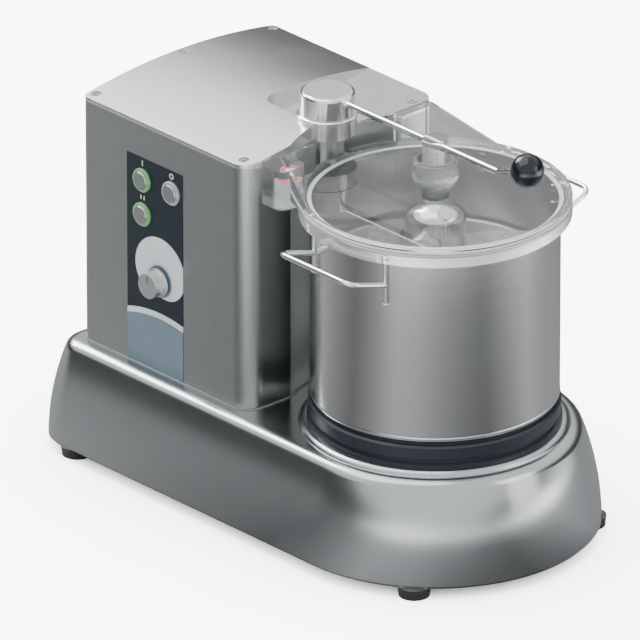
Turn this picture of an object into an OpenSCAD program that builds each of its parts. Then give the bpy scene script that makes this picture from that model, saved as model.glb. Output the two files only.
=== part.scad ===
// Bowl cutter: a fixed steel bowl with a lidded top beside a tall motor housing,
// both standing on one flared cast base. Millimetres, +Z up, feet on Z = 0.
// X = 0, Y = 0 is the middle of the footprint; sizes below are counted from the
// bowl's axis, which at_bowl() puts on +X. The operator stands on the -Y side.

/* [Base casting] */
// height of the rubber feet under the casting
foot_h = 10.5; // [8:0.5:16]
// half width of the casting at its bottom edge, also the round end's radius
base_r = 161; // [140:1:190]
// height of the deck above the casting's bottom edge
base_h = 104; // [80:1:130]
// distance from the bowl's axis to the far end of the casting
base_reach = 405; // [360:1:480]
// plan radius of the two far corners at the bottom edge
base_corner = 45; // [35:1:70]
// radius of the outward flare of the sides, seen in section
flare_r = 270; // [200:5:400]
// radius of the rounded edge between deck and sides
deck_round = 12; // [8:1:18]
// wall thickness of the casting
base_wall = 6; // [4:0.5:9]

/* [Motor housing] */
// face of the housing towards the bowl, distance from the bowl's axis
hou_near = 130.4; // [124:0.2:150]
// face of the housing away from the bowl, distance from the bowl's axis
hou_far = 364.8; // [330:0.2:400]
// half width of the housing
hou_w = 123.8; // [110:0.2:140]
// height of the housing's sheet wall above the deck
hou_h = 253; // [220:1:290]
// radius of the hollow that wraps around the bowl
recess_r = 147; // [140:0.5:160]
// radius of the two upright corners beside the bowl
near_corner = 20; // [10:1:30]
// radius of the two upright corners at the far side
far_corner = 5; // [3:1:20]
// thickness of the housing's sheet
sheet = 2.5; // [1.5:0.5:4]

/* [Top cover] */
// thickness of the cover at its front and back edges
cover_edge = 4; // [3:0.5:8]
// rise of the crowned cover from edge to middle
crown = 11.5; // [4:0.5:16]
// height of the lowered floor beside the lever above the sheet wall
step_z = 3.6; // [2.5:0.1:6]
// distance of the lowered floor's far wall from the bowl's axis
step_far = 226; // [200:1:260]
// front edge of the lowered floor
step_front = -20; // [-30:1:-10]

/* [Bowl and lid] */
// outer diameter of the bowl
bowl_d = 240; // [200:2:300]
// height of the bowl
bowl_h = 200; // [150:2:240]
// wall thickness of the bowl
bowl_t = 2; // [1.5:0.1:3]
// height of the bowl's underside above the casting's bottom edge
bowl_z = 134.3; // [120:0.1:150]
// outer radius of the lid's rim
lid_r = 131; // [126:0.5:150]
// height of the lid's upright wings
wing_h = 36; // [15:1:40]

/* [Lever] */
// distance of the lever's pivot from the bowl's axis
pivot = 152; // [148:0.5:160]
// radius of the lever's cap
cap_r = 26.5; // [20:0.5:32]
// radius of the lever's rod
rod_r = 3.2; // [2.5:0.1:5]
// radius of the ball grip
ball_r = 16.4; // [12:0.2:20]

/* [Blades and drive] */
// reach of the blades from the bowl's axis
blade_reach = 114; // [90:1:116]
// number of saw teeth on each blade
blade_teeth = 9; // [5:1:12]
// radius of the spindle pulley
pulley_a = 33; // [24:1:40]
// radius of the motor pulley
pulley_b = 22; // [16:1:30]
// distance of the motor's axis from the bowl's axis
motor_x = 258; // [240:1:270]

/* [Hidden] */
$fn = 96;
e = 0.01;
bowl_x = (base_reach - base_r) / 2;
z0 = foot_h;
deck = z0 + base_h;
wall_top = deck + hou_h;
edge_z = wall_top + cover_edge;
crown_r = (pow(hou_w, 2) + pow(crown, 2)) / (2 * crown);
crown_top = edge_z + crown;
step_floor = wall_top + step_z;
bowl_r = bowl_d / 2;
bz = z0 + bowl_z;
rim_z = bz + bowl_h;
lid_z = rim_z + 1.5;
face_y = -hou_w;
rod_z = z0 + 393.5;
hub_z = lid_z + 3;
deck_cx = sqrt(pow(flare_r - deck_round, 2) - pow(base_h - deck_round, 2));
tan_k = flare_r / (flare_r - deck_round);
feet_at = [[-355, -143], [-355, 143], [96, -115], [96, 115]];
cover_screws_at = [[-356.5, -114.5], [-356.5, 0], [-356.5, 114.5], [-146, -113.5]];
green_x = -279;
green_z1 = z0 + 300.4;
green_z2 = z0 + 264.5;
stop_x = -237.4;
knob_x = -254.3;
knob_z = z0 + 201.5;
label_x1 = -301.5;
label_x2 = -222;
label_z1 = deck + 1;
label_z2 = z0 + 323.5;
label_t = 0.6;
pulley_z1 = z0 + 16;
pulley_z2 = z0 + 40;
shaft_r = 8;

module ring(ro, ri, h) {
  difference() {
    cylinder(r = ro, h = h);
    translate([0, 0, -1]) cylinder(r = ri, h = h + 2);
  }
}
// The bowl's axis lies this far along +X from the middle of the machine.
module at_bowl() translate([bowl_x, 0, 0]) children();
module along_y(x, y, z) translate([x, y, z]) rotate([-90, 0, 0]) children();

// Half section of the casting: bottom radius r, every face moved in by t.
// The flare is one true arc, joined by a tangent arc to the flat deck.
module flare_section(r, t) {
  c = r - flare_r;
  px = c + deck_cx;
  pz = base_h - deck_round;
  f = 1.4 * deck_round / flare_r;
  difference() {
    intersection() {
      translate([c, 0]) circle(r = flare_r - t, $fn = 240);
      polygon([[0, 0], [r - (t > 0 ? -1 : 3), 0], [r + 1, 4], [r + 1, base_h - t], [0, base_h - t]]);
    }
    difference() {
      polygon([[px, pz], [px + deck_cx * f, pz + pz * f], [px + 40, pz + 40], [px, pz + 40]]);
      translate([px, pz]) circle(r = deck_round - t);
    }
  }
}
module flared_solid(t) {
  cx = -base_reach + base_corner;
  cy = base_r - base_corner;
  rotate_extrude() flare_section(base_r, t);
  translate([cx, 0, 0]) rotate([90, 0, 90]) linear_extrude(-cx) {
    flare_section(base_r, t);
    mirror([1, 0]) flare_section(base_r, t);
  }
  translate([cx, cy, 0]) rotate([90, 0, 0]) linear_extrude(2 * cy)
    mirror([1, 0]) flare_section(base_corner, t);
  for (s = [-1, 1]) translate([cx, s * cy, 0]) rotate_extrude() flare_section(base_corner, t);
}
module base_plan(t) {
  cx = -base_reach + base_corner;
  cy = base_r - base_corner;
  circle(r = base_r - t, $fn = 180);
  translate([cx, -base_r + t]) square([-cx, 2 * (base_r - t)]);
  translate([-base_reach + t, -cy]) square([base_corner, 2 * cy]);
  for (s = [-1, 1]) translate([cx, s * cy]) circle(r = base_corner - t);
}

module base_casting() color([0.70, 0.73, 0.74]) at_bowl() {
  difference() {
    union() {
      difference() {
        translate([0, 0, z0]) flared_solid(0);
        translate([0, 0, z0 - 0.5]) flared_solid(base_wall);
        // opening for the belt drive below the motor
        translate([-motor_x, 0, deck - 20]) cylinder(r = 46, h = 40);
      }
      // raised collar that carries the bowl's seat ring
      translate([0, 0, deck - 1]) rotate_extrude()
        polygon([[60, 0], [60, 6], [124.4, 6], [126.6, 5.5], [128.6, 4.2], [130, 2.4], [130.6, 0]]);
      // solid lands above the feet, inside the flared outline
      intersection() {
        translate([0, 0, z0]) flared_solid(0.5);
        for (p = feet_at) translate([p[0], p[1], z0]) cylinder(r = 17, h = 40);
      }
      // stiffening ribs across the underside of the deck
      for (x = [-330, -190]) translate([x, -118, deck - 22]) cube([5, 236, 18]);
      // bosses for the base plate's screws
      for (s = [-1, 1], x = [-300, -110]) translate([x, s * 128, z0 + 2.2]) cylinder(r = 8, h = 98);
    }
    // spindle hole and its counterbore
    translate([0, 0, deck - 30]) cylinder(r = 30.1, h = 60);
    // cast-in wells for foot and plate screws
    for (p = feet_at) translate([p[0], p[1], z0 - 1]) cylinder(r = 3.1, h = 21);
    for (s = [-1, 1], x = [-300, -110]) translate([x, s * 128, z0]) cylinder(r = 2.1, h = 20);
    // motor bolts
    for (x = [-58, 58], y = [-58, 58]) translate([-motor_x + x, y, deck - 20]) cylinder(r = 4.1, h = 40);
  }
}
module base_plate() color([0.62, 0.64, 0.66]) at_bowl() translate([0, 0, z0 + 0.1]) linear_extrude(2) difference() {
  base_plan(base_wall + 1);
  for (p = feet_at) translate(p) circle(r = 17.6);
  for (s = [-1, 1], x = [-300, -110]) translate([x, s * 128]) circle(r = 2.3);
  for (x = [-230 : 14 : -150]) translate([x, -40]) square([6, 80]);
}
module base_plate_screws() color([0.75, 0.76, 0.78]) at_bowl()
  for (s = [-1, 1], x = [-300, -110]) translate([x, s * 128, z0 - 2]) {
    cylinder(r = 4.2, h = 2.05);
    cylinder(r = 2, h = 18);
  }
module rubber_feet() color([0.06, 0.06, 0.07]) at_bowl() for (p = feet_at) translate([p[0], p[1], 0]) difference() {
  cylinder(r1 = 15, r2 = 16, h = foot_h);
  translate([0, 0, -1]) cylinder(r = 6.2, h = 6);
  cylinder(r = 3.1, h = foot_h + 1);
}
module foot_screws() color([0.75, 0.76, 0.78]) at_bowl() for (p = feet_at) translate([p[0], p[1], 1.2]) difference() {
  union() {
    cylinder(r = 6, h = 3.8);
    cylinder(r = 3, h = 26);
  }
  translate([0, 0, -1]) cylinder(r = 2.6, h = 3, $fn = 6);
}

// Plan of the housing moved in by t; the bowl's hollow is part of it.
module housing_plan(t) difference() {
  union() {
    rn = near_corner - t;
    rf = max(far_corner - t, 1.5);
    x1 = -hou_far + t;
    x2 = -hou_near - t;
    w = hou_w - t;
    translate([x1 + rf, -w]) square([x2 - rn - x1 - rf, 2 * w]);
    translate([x1, -w + rf]) square([rf * 2, 2 * (w - rf)]);
    translate([x2 - rn * 2, -w + rn]) square([rn * 2, 2 * (w - rn)]);
    for (s = [-1, 1]) {
      translate([x1 + rf, s * (w - rf)]) circle(r = rf);
      translate([x2 - rn, s * (w - rn)]) circle(r = rn);
    }
  }
  circle(r = recess_r + t, $fn = 180);
}
module housing_shell() color([0.68, 0.70, 0.71]) at_bowl() difference() {
  union() {
    translate([0, 0, deck]) linear_extrude(hou_h) housing_plan(0);
    // half-round pocket that carries the lever's pivot
    translate([-pivot, 0, wall_top - 58]) cylinder(r = 16, h = 58);
  }
  translate([0, 0, deck - 1]) linear_extrude(hou_h - 1.5) housing_plan(sheet);
  translate([0, 0, wall_top - 4]) linear_extrude(8) housing_plan(14);
  translate([-pivot, 0, wall_top - 55.5]) cylinder(r = 13.5, h = 70);
  translate([-pivot - 26, -11, wall_top - 55.5]) cube([26, 22, 50]);
  for (z = [green_z1, green_z2]) along_y(green_x, face_y - 1, z) cylinder(r = 10.6, h = 12);
  along_y(stop_x, face_y - 1, green_z1) cylinder(r = 10.6, h = 12);
  along_y(knob_x, face_y - 1, knob_z) cylinder(r = 5.1, h = 12);
  // inlet for the mains cable, low on the far side
  translate([-hou_far - 1, 60, deck + 34]) rotate([0, 90, 0]) cylinder(r = 8.1, h = 12);
  for (p = cover_screws_at) translate([p[0], p[1], wall_top - 12]) cylinder(r = 2.1, h = 20);
  translate([-141.5, 100.5, wall_top - 12]) cylinder(r = 2.1, h = 20);
  // cooling slots near the bottom of the far side and of the back
  for (y = [-90 : 12 : 30]) translate([-hou_far - 1, y, deck + 20]) cube([6, 5, 50]);
  for (x = [-330 : 12 : -190]) translate([x, hou_w - 4, deck + 20]) cube([5, 6, 50]);
}
// Crowned cover with a lowered floor that the lever swings across.
module crown_solid(t) intersection() {
  translate([0, 0, wall_top - (t > 0 ? 1 : 0)]) linear_extrude(crown + cover_edge + 4) housing_plan(t);
  translate([-hou_far - 5, 0, edge_z + crown - crown_r - t]) rotate([90, 0, 90])
    linear_extrude(hou_far) circle(r = crown_r, $fn = 360);
}
module step_cut(g, zf) {
  r = 18 - g;
  translate([-step_far - g, step_front - g + r, zf]) cube([step_far, 300, 40]);
  translate([-step_far - g + r, step_front - g, zf]) cube([step_far, 300, 40]);
  translate([-step_far - g + r, step_front - g + r, zf]) cylinder(r = r, h = 40);
}
module top_cover() color([0.80, 0.82, 0.82]) at_bowl() difference() {
  union() {
    difference() {
      crown_solid(0);
      step_cut(0, step_floor);
    }
    // round pedestal under the lever's cap
    translate([-pivot, 0, wall_top]) cylinder(r = 28.3, h = crown_top + 1 - wall_top);
  }
  // hollow underside
  difference() {
    crown_solid(5);
    step_cut(5, wall_top - 5);
    translate([-pivot, 0, wall_top - 5]) cylinder(r = 34, h = 60);
    for (p = cover_screws_at) translate([p[0], p[1], wall_top - 5]) cylinder(r = 10, h = 60);
  }
  translate([-pivot, 0, wall_top - 5]) cylinder(r = 12.6, h = 60);
  for (p = cover_screws_at) translate([p[0], p[1], wall_top - 5]) {
    cylinder(r = 2.3, h = 60);
    translate([0, 0, 5.5 + 1.4 + lift(p)]) cylinder(r = 5, h = 60);
  }
  translate([-141.5, 100.5, wall_top - 5]) {
    cylinder(r = 2.3, h = 60);
    translate([0, 0, 6.5]) cylinder(r = 5, h = 60);
  }
}
// seat of a screw that stands on the crown's middle, above the others
function lift(p) = p[1] == 0 ? crown - 1.8 : 0;
module cover_screw(more = 0) difference() {
  union() {
    cylinder(r = 4.4, h = 3);
    translate([0, 0, -12 - more]) cylinder(r = 2, h = 13 + more);
  }
  translate([0, 0, 1]) cylinder(r = 2.3, h = 3, $fn = 6);
}
module top_cover_screws() color([0.78, 0.79, 0.80]) at_bowl() {
  for (p = cover_screws_at) translate([p[0], p[1], wall_top + 1.9 + lift(p)]) cover_screw(lift(p));
  translate([-141.5, 100.5, wall_top + 1.5]) cover_screw();
}

module control_label() color([0.10, 0.18, 0.24]) at_bowl() difference() {
  translate([label_x1, face_y - label_t, label_z1]) cube([label_x2 - label_x1, label_t, label_z2 - label_z1]);
  for (z = [green_z1, green_z2]) along_y(green_x, face_y - 2, z) cylinder(r = 10.6, h = 4);
  along_y(stop_x, face_y - 2, green_z1) cylinder(r = 10.6, h = 4);
  along_y(knob_x, face_y - 2, knob_z) cylinder(r = 5.1, h = 4);
}
// Screwed-in button bezel: front ring, sleeve through the sheet and a rear nut.
module bezel() difference() {
  union() {
    translate([0, 0, -3]) cylinder(r1 = 11, r2 = 12.2, h = 1.2);
    translate([0, 0, -1.8]) cylinder(r = 12.2, h = 1.8);
    cylinder(r = 10.3, h = 10);
    translate([0, 0, label_t + sheet + 0.2]) cylinder(r = 14, h = 3, $fn = 6);
  }
  translate([0, 0, -4]) cylinder(r = 9.06, h = 10);
  translate([0, 0, -4]) cylinder(r = 6, h = 20);
}
module start_bezel() color([0.42, 0.62, 0.42]) at_bowl() along_y(green_x, face_y - label_t, green_z1) bezel();
module pulse_bezel() color([0.42, 0.62, 0.42]) at_bowl() along_y(green_x, face_y - label_t, green_z2) bezel();
module stop_bezel() color([0.62, 0.64, 0.66]) at_bowl() along_y(stop_x, face_y - label_t, green_z1) bezel();
module button_piece() {
  translate([0, 0, -4.2]) cylinder(r1 = 8.2, r2 = 9, h = 0.9);
  translate([0, 0, -3.3]) cylinder(r = 9, h = 5.8);
  translate([0, 0, 2.4]) cylinder(r = 2.5, h = 9);
}
module start_button() color([0.80, 0.82, 0.83]) at_bowl() along_y(green_x, face_y - label_t, green_z1) button_piece();
module pulse_button() color([0.80, 0.82, 0.83]) at_bowl() along_y(green_x, face_y - label_t, green_z2) button_piece();
module stop_button() color([0.62, 0.64, 0.66]) at_bowl() along_y(stop_x, face_y - label_t, green_z1) button_piece();
module switch_bodies() color([0.14, 0.15, 0.17]) at_bowl()
  for (p = [[green_x, green_z1], [green_x, green_z2], [stop_x, green_z1]])
    along_y(p[0], face_y + 9.7, p[1]) difference() {
      union() {
        cylinder(r = 11, h = 4);
        translate([-9, -9, 3]) cube([18, 18, 20]);
        for (s = [-5, 5]) translate([s - 1, -3, 22]) cube([2, 6, 6]);
      }
      translate([0, 0, -1]) cylinder(r = 3, h = 8);
    }
module speed_potentiometer() color([0.30, 0.36, 0.40]) at_bowl() along_y(knob_x, face_y + sheet + 0.1, knob_z) difference() {
  union() {
    cylinder(r = 12, h = 12);
    translate([0, 0, -sheet - 0.1 - label_t - 2]) cylinder(r = 4.8, h = 6);
    translate([-6, 8, 3]) cube([12, 12, 3]);
  }
  translate([0, 0, -8]) cylinder(r = 3.05, h = 16);
}
// Speed knob: skirt, straight grip with eighteen fine flutes and its own spindle.
module speed_knob() color([0.78, 0.79, 0.80]) at_bowl() along_y(knob_x, face_y - label_t, knob_z) {
  difference() {
    union() {
      translate([0, 0, -5.6]) cylinder(r = 14.2, h = 2.8);
      translate([0, 0, -17]) cylinder(r = 12.8, h = 11.5);
    }
    for (i = [0 : 17]) rotate([0, 0, i * 20 + 10]) translate([13.2, 0, -18]) cylinder(r = 0.9, h = 12.3);
    translate([-0.6, -14, -17.6]) cube([1.2, 11, 1.2]);
  }
  translate([0, 0, -3]) cylinder(r = 3, h = 12);
}
module control_board() color([0.10, 0.34, 0.20]) at_bowl() difference() {
  translate([-340, -84, deck + 70]) cube([150, 1.8, 120]);
  for (x = [-334, -196], z = [deck + 76, deck + 184]) along_y(x, -86, z) cylinder(r = 1.7, h = 6);
}
module board_posts() color([0.75, 0.76, 0.78]) at_bowl()
  for (x = [-334, -196], z = [deck + 76, deck + 184]) along_y(x, face_y + sheet + 0.02, z) {
    cylinder(r = 4, h = -84 - face_y - sheet - 0.04);
    cylinder(r = 1.6, h = -84 - face_y - sheet + 4);
  }
module board_parts() color([0.20, 0.21, 0.24]) at_bowl() {
  translate([-328, -82.15, deck + 86]) cube([40, 15, 34]);
  translate([-328, -82.15, deck + 130]) cube([24, 15, 24]);
  translate([-280, -82.15, deck + 90]) cube([34, 12, 26]);
  for (i = [0 : 3]) along_y(-290 + i * 18, -82.15, deck + 140) cylinder(r = 6, h = 14);
  for (i = [0 : 5]) translate([-234 + i * 6, -82.15, deck + 160]) cube([4, 10, 9]);
}

module bowl_seat_ring() color([0.07, 0.08, 0.09]) at_bowl() translate([0, 0, deck + 5]) rotate_extrude()
  polygon([[100, 0], [122.6, 0], [122.6, 3.2], [118.5, 4.6], [118.5, 8], [121.4, 9.6], [121.4, 20.5],
    [119.6, 22.4], [117.2, 22.4], [117.2, 25.3], [100, 25.3]]);
module spindle_housing() color([0.55, 0.57, 0.58]) at_bowl() difference() {
  union() {
    translate([0, 0, deck + 5]) cylinder(r = 58, h = 8);
    translate([0, 0, z0 + 48]) cylinder(r = 30, h = base_h - 42);
  }
  translate([0, 0, z0 + 40]) cylinder(r = 14, h = 120);
  translate([0, 0, deck + 13 - 16]) cylinder(r = 23.02, h = 40);
  translate([0, 0, z0 + 40]) cylinder(r = 23.02, h = 22);
}
module bearing() difference() {
  union() {
    ring(23, 18.5, 14);
    ring(13, shaft_r + 0.05, 14);
    translate([0, 0, 1]) ring(19, 12.5, 12);
  }
}
module upper_bearing() color([0.80, 0.81, 0.83]) at_bowl() translate([0, 0, deck - 3]) bearing();
module lower_bearing() color([0.80, 0.81, 0.83]) at_bowl() translate([0, 0, z0 + 48]) bearing();
module spindle_shaft() color([0.76, 0.77, 0.79]) at_bowl() {
  translate([0, 0, z0 + 12]) cylinder(r = shaft_r, h = 266);
  translate([0, 0, z0 + 12]) cylinder(r = shaft_r + 5, h = 3.5);
}
module v_pulley(r) {
  cylinder(r = r + 5, h = 3);
  translate([0, 0, 3 - e]) cylinder(r = r, h = 18 + 2 * e);
  translate([0, 0, 21]) cylinder(r = r + 5, h = 3);
}
module spindle_pulley() color([0.45, 0.46, 0.48]) at_bowl() translate([0, 0, pulley_z1]) difference() {
  v_pulley(pulley_a);
  translate([0, 0, -1]) cylinder(r = shaft_r + 0.02, h = 30);
  for (i = [0 : 5]) rotate([0, 0, i * 60]) translate([20, 0, -1]) cylinder(r = 5, h = 30);
}
module motor_pulley() color([0.45, 0.46, 0.48]) at_bowl() translate([-motor_x, 0, pulley_z1]) difference() {
  v_pulley(pulley_b);
  translate([0, 0, -1]) cylinder(r = 9.02, h = 30);
}
// Belt loop around both pulleys, tangent spans worked out from the two radii.
module belt_outline(ra, rb) {
  a = asin((ra - rb) / motor_x);
  circle(r = ra);
  translate([-motor_x, 0]) circle(r = rb);
  polygon([[-ra * sin(a), ra * cos(a)], [-motor_x - rb * sin(a), rb * cos(a)],
    [-motor_x - rb * sin(a), -rb * cos(a)], [-ra * sin(a), -ra * cos(a)]]);
}
module drive_belt() color([0.08, 0.08, 0.09]) at_bowl() translate([0, 0, pulley_z1 + 4]) linear_extrude(16) difference() {
  belt_outline(pulley_a + 3.9, pulley_b + 3.9);
  belt_outline(pulley_a + 0.4, pulley_b + 0.4);
}
module motor_flange() color([0.40, 0.44, 0.48]) at_bowl() translate([-motor_x, 0, deck + 0.02]) difference() {
  translate([-68, -68, 0]) cube([136, 136, 8]);
  translate([0, 0, -1]) cylinder(r = 16, h = 12);
  for (x = [-58, 58], y = [-58, 58]) translate([x, y, -1]) cylinder(r = 4.1, h = 12);
}
module motor_bolts() color([0.75, 0.76, 0.78]) at_bowl()
  for (x = [-58, 58], y = [-58, 58]) translate([-motor_x + x, y, deck]) {
    translate([0, 0, 8.04]) cylinder(r = 7, h = 5, $fn = 6);
    translate([0, 0, -14]) cylinder(r = 4, h = 23);
    translate([0, 0, -12.5]) cylinder(r = 7, h = 5, $fn = 6);
  }
module motor_case() color([0.30, 0.36, 0.42]) at_bowl() translate([-motor_x, 0, deck + 8.04]) difference() {
  union() {
    cylinder(r = 50, h = 150);
    cylinder(r = 56, h = 10);
    translate([0, 0, 140]) cylinder(r = 54, h = 12);
    for (i = [0 : 23]) rotate([0, 0, i * 15]) translate([49, -1, 9]) cube([6, 2, 132]);
  }
  translate([0, 0, 8]) cylinder(r = 45, h = 136);
  translate([0, 0, -1]) cylinder(r = 9.05, h = 200);
}
module motor_stator() color([0.62, 0.38, 0.20]) at_bowl() translate([-motor_x, 0, deck + 40]) difference() {
  ring(44.97, 35.5, 90);
  for (i = [0 : 11]) rotate([0, 0, i * 30]) translate([34, -3, -1]) cube([4.5, 6, 92]);
}
module motor_rotor() color([0.50, 0.50, 0.52]) at_bowl() translate([-motor_x, 0, deck + 42]) ring(34.5, 9.02, 86);
module motor_shaft() color([0.76, 0.77, 0.79]) at_bowl() translate([-motor_x, 0, z0 + 12]) cylinder(r = 9, h = base_h + 160);

module cable_gland() color([0.10, 0.10, 0.11]) at_bowl() translate([-hou_far - 15, 60, deck + 34]) rotate([0, 90, 0]) difference() {
  union() {
    cylinder(r1 = 6.5, r2 = 8.5, h = 6);
    translate([0, 0, 6]) cylinder(r = 11, h = 8.9, $fn = 6);
    cylinder(r = 8, h = 22);
    translate([0, 0, 17.6]) cylinder(r = 11, h = 4, $fn = 6);
  }
  translate([0, 0, -1]) cylinder(r = 4.2, h = 30);
}
module lid_sensor() color([0.20, 0.22, 0.25]) at_bowl() translate([-hou_near - sheet - 14.02, -102, z0 + 326]) cube([14, 22, 24]);

module lever_base_ring() color([0.80, 0.82, 0.83]) at_bowl() translate([-pivot, 0, crown_top + 1.02]) difference() {
  union() {
    cylinder(r = 29.3, h = 2.6);
    translate([0, 0, 2.5]) cylinder(r1 = 29.3, r2 = 28, h = 1);
  }
  translate([0, 0, -1]) cylinder(r = 9, h = 8);
}
module lever_bush() color([0.72, 0.60, 0.32]) at_bowl() translate([-pivot, 0, 0]) {
  translate([0, 0, wall_top - 40]) ring(12.5, 8.05, crown_top - wall_top + 40.9);
}
module lever_switch() color([0.16, 0.17, 0.20]) at_bowl() translate([-pivot - 40, -9, wall_top - 60]) {
  cube([20, 18, 30]);
  translate([19, 7, 12]) cube([6.5, 4, 4]);
}
module lever_shaft() color([0.78, 0.80, 0.81]) at_bowl() translate([-pivot, 0, wall_top - 52]) cylinder(r = 8, h = crown_top + 4.7 + 12 - wall_top + 52);
module lever_cam() color([0.70, 0.71, 0.73]) at_bowl() translate([-pivot, 0, wall_top - 50]) difference() {
  cylinder(r = 12.5, h = 9);
  translate([0, 0, -1]) cylinder(r = 8.02, h = 12);
  rotate([0, 0, 100]) translate([10.5, -4, -1]) cube([6, 8, 12]);
}
module lever_cap() color([0.85, 0.86, 0.87]) at_bowl() translate([-pivot, 0, crown_top + 4.9]) difference() {
  union() {
    rotate_extrude() polygon([[0, 0], [cap_r, 0], [cap_r, 19.4], [cap_r - 0.5, 21.1], [cap_r - 1.5, 22.1],
      [cap_r - 2.9, 22.6], [0, 22.6]]);
  }
  translate([0, 0, -1]) cylinder(r = 8.02, h = 13.2);
  translate([0, 0, rod_z - crown_top - 4.9]) rotate([0, 90, 0]) translate([0, 0, 12]) cylinder(r = rod_r + 0.02, h = 30);
  difference() {
    translate([0, 0, -1]) cylinder(r = cap_r - 4, h = 4);
    translate([0, 0, -2]) cylinder(r = 12, h = 8);
  }
}
// Lever rod: level across the hub, then cranked up to the ball grip.
rod_bend = 87;
rod_tilt = 19.9;
module lever_rod() color([0.80, 0.82, 0.83]) at_bowl() {
  translate([-pivot + 12.2, 0, rod_z]) rotate([0, 90, 0]) cylinder(r = rod_r, h = pivot - 12.2 + rod_bend);
  translate([rod_bend, 0, rod_z]) sphere(r = rod_r + 0.15);
  translate([rod_bend, 0, rod_z]) rotate([0, 90 - rod_tilt, 0]) cylinder(r = rod_r, h = 39);
}
module lever_ball() color([0.05, 0.06, 0.09]) at_bowl() translate([rod_bend, 0, rod_z]) rotate([0, 90 - rod_tilt, 0]) difference() {
  union() {
    translate([0, 0, 43]) sphere(r = ball_r);
    translate([0, 0, 25.5]) cylinder(r1 = 5.6, r2 = 7, h = 5);
  }
  translate([0, 0, 13]) cylinder(r = rod_r + 0.02, h = 26.1);
}

module bowl() color([0.76, 0.78, 0.79]) at_bowl() {
  difference() {
    union() {
      translate([0, 0, bz + 4]) cylinder(r = bowl_r, h = bowl_h - 4);
      translate([0, 0, bz + 0.02]) cylinder(r = bowl_r - 4, h = 8);
      translate([0, 0, bz + 4.34]) rotate_extrude() translate([bowl_r - 4, 0]) circle(r = 4.3);
      // rolled rim
      translate([0, 0, rim_z - 2]) rotate_extrude() translate([bowl_r + 0.6, 0]) circle(r = 2);
    }
    translate([0, 0, bz + bowl_t + 8]) cylinder(r = bowl_r - bowl_t, h = bowl_h);
    translate([0, 0, bz + bowl_t]) cylinder(r = bowl_r - bowl_t - 8, h = bowl_h);
    translate([0, 0, bz + bowl_t + 8]) rotate_extrude() translate([bowl_r - bowl_t - 8, 0]) circle(r = 8);
    translate([0, 0, bz - 1]) cylinder(r = 12, h = 20);
  }
  // column that keeps the spindle dry
  translate([0, 0, bz + bowl_t - e]) difference() {
    union() {
      cylinder(r = 21, h = 112);
      cylinder(r1 = 23.5, r2 = 21, h = 3);
    }
    translate([0, 0, -5]) cylinder(r = 12, h = 130);
  }
}
// Wire handle: two legs out of the bowl's wall, bent bar between, weld pads.
module wire_handle(zr) {
  w = 50;
  b = 11;
  y1 = 108.7;
  y2 = 146;
  t = atan2(zr, y2 + b - y1);
  for (s = [-1, 1]) {
    translate([s * w, y1, 0]) rotate([-90 + t, 0, 0]) cylinder(r = 2.7, h = (y2 - y1) / cos(t) + 0.6);
    translate([s * (w - b), y2, (y2 - y1) * tan(t)]) rotate([t, 0, 0]) rotate([0, 0, s > 0 ? 0 : 90])
      rotate_extrude(angle = 90) translate([b, 0]) circle(r = 2.6, $fn = 32);
    translate([s * w, y1 + 0.9, -19]) cylinder(r = 3, h = 52);
  }
  translate([-w + b - 0.6, y2 + b * cos(t), (y2 + b * cos(t) - y1) * tan(t)]) rotate([0, 90, 0])
    cylinder(r = 2.7, h = 2 * (w - b) + 1.2);
}
handle_z = z0 + 296;
module front_handle() color([0.82, 0.84, 0.85]) at_bowl() difference() {
  translate([0, 0, handle_z]) mirror([0, 1, 0]) wire_handle(15);
  translate([0, 0, handle_z - 60]) cylinder(r = bowl_r + 0.02, h = 120);
}
module rear_handle() color([0.82, 0.84, 0.85]) at_bowl() difference() {
  translate([0, 0, handle_z]) wire_handle(19);
  translate([0, 0, handle_z - 60]) cylinder(r = bowl_r + 0.02, h = 120);
}

// Clear lid: flat plate with a raised rim, two upright wings that run
// tangentially off the rim, and the upper half of the pod for the safety magnet.
module lid() color([0.80, 0.86, 0.88, 0.35]) at_bowl() difference() {
  union() {
    translate([0, 0, lid_z]) rotate_extrude()
      polygon([[0, 0], [lid_r, 0], [lid_r, 5.2], [lid_r - 1, 6.6], [lid_r - 2.6, 7.2], [lid_r - 5, 7.2],
        [lid_r - 6.6, 6.6], [lid_r - 8, 5], [lid_r - 9, 3], [0, 3]]);
    for (s = [-1, 1]) scale([1, s, 1]) {
      translate([0, 0, lid_z]) linear_extrude(3)
        polygon([[-115, 52], [-115, 95], [-41, 123.6], [-41, 118], [-60, 100], [-100, 52]]);
      translate([-115, 52, lid_z]) cube([3, 42, wing_h]);
      translate([-115, 95, lid_z]) rotate([0, 0, 21]) translate([0, -3, 0]) rotate([90, 0, 0]) mirror([0, 0, 1])
        linear_extrude(3) polygon([[0, 0], [0, wing_h], [6, wing_h], [80, 5], [80, 0]]);
      translate([-113.2, 93.2, lid_z]) cylinder(r = 3, h = wing_h);
    }
    translate([-124, -114, lid_z]) pod_block(32, 33, z0 + 366 - lid_z, 7);
  }
  translate([-103.4, -92.6, z0 + 320]) cylinder(r = 9.7, h = 31.2);
  translate([0, 0, lid_z - 1]) cylinder(r = 10.1, h = 6);
}
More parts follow.
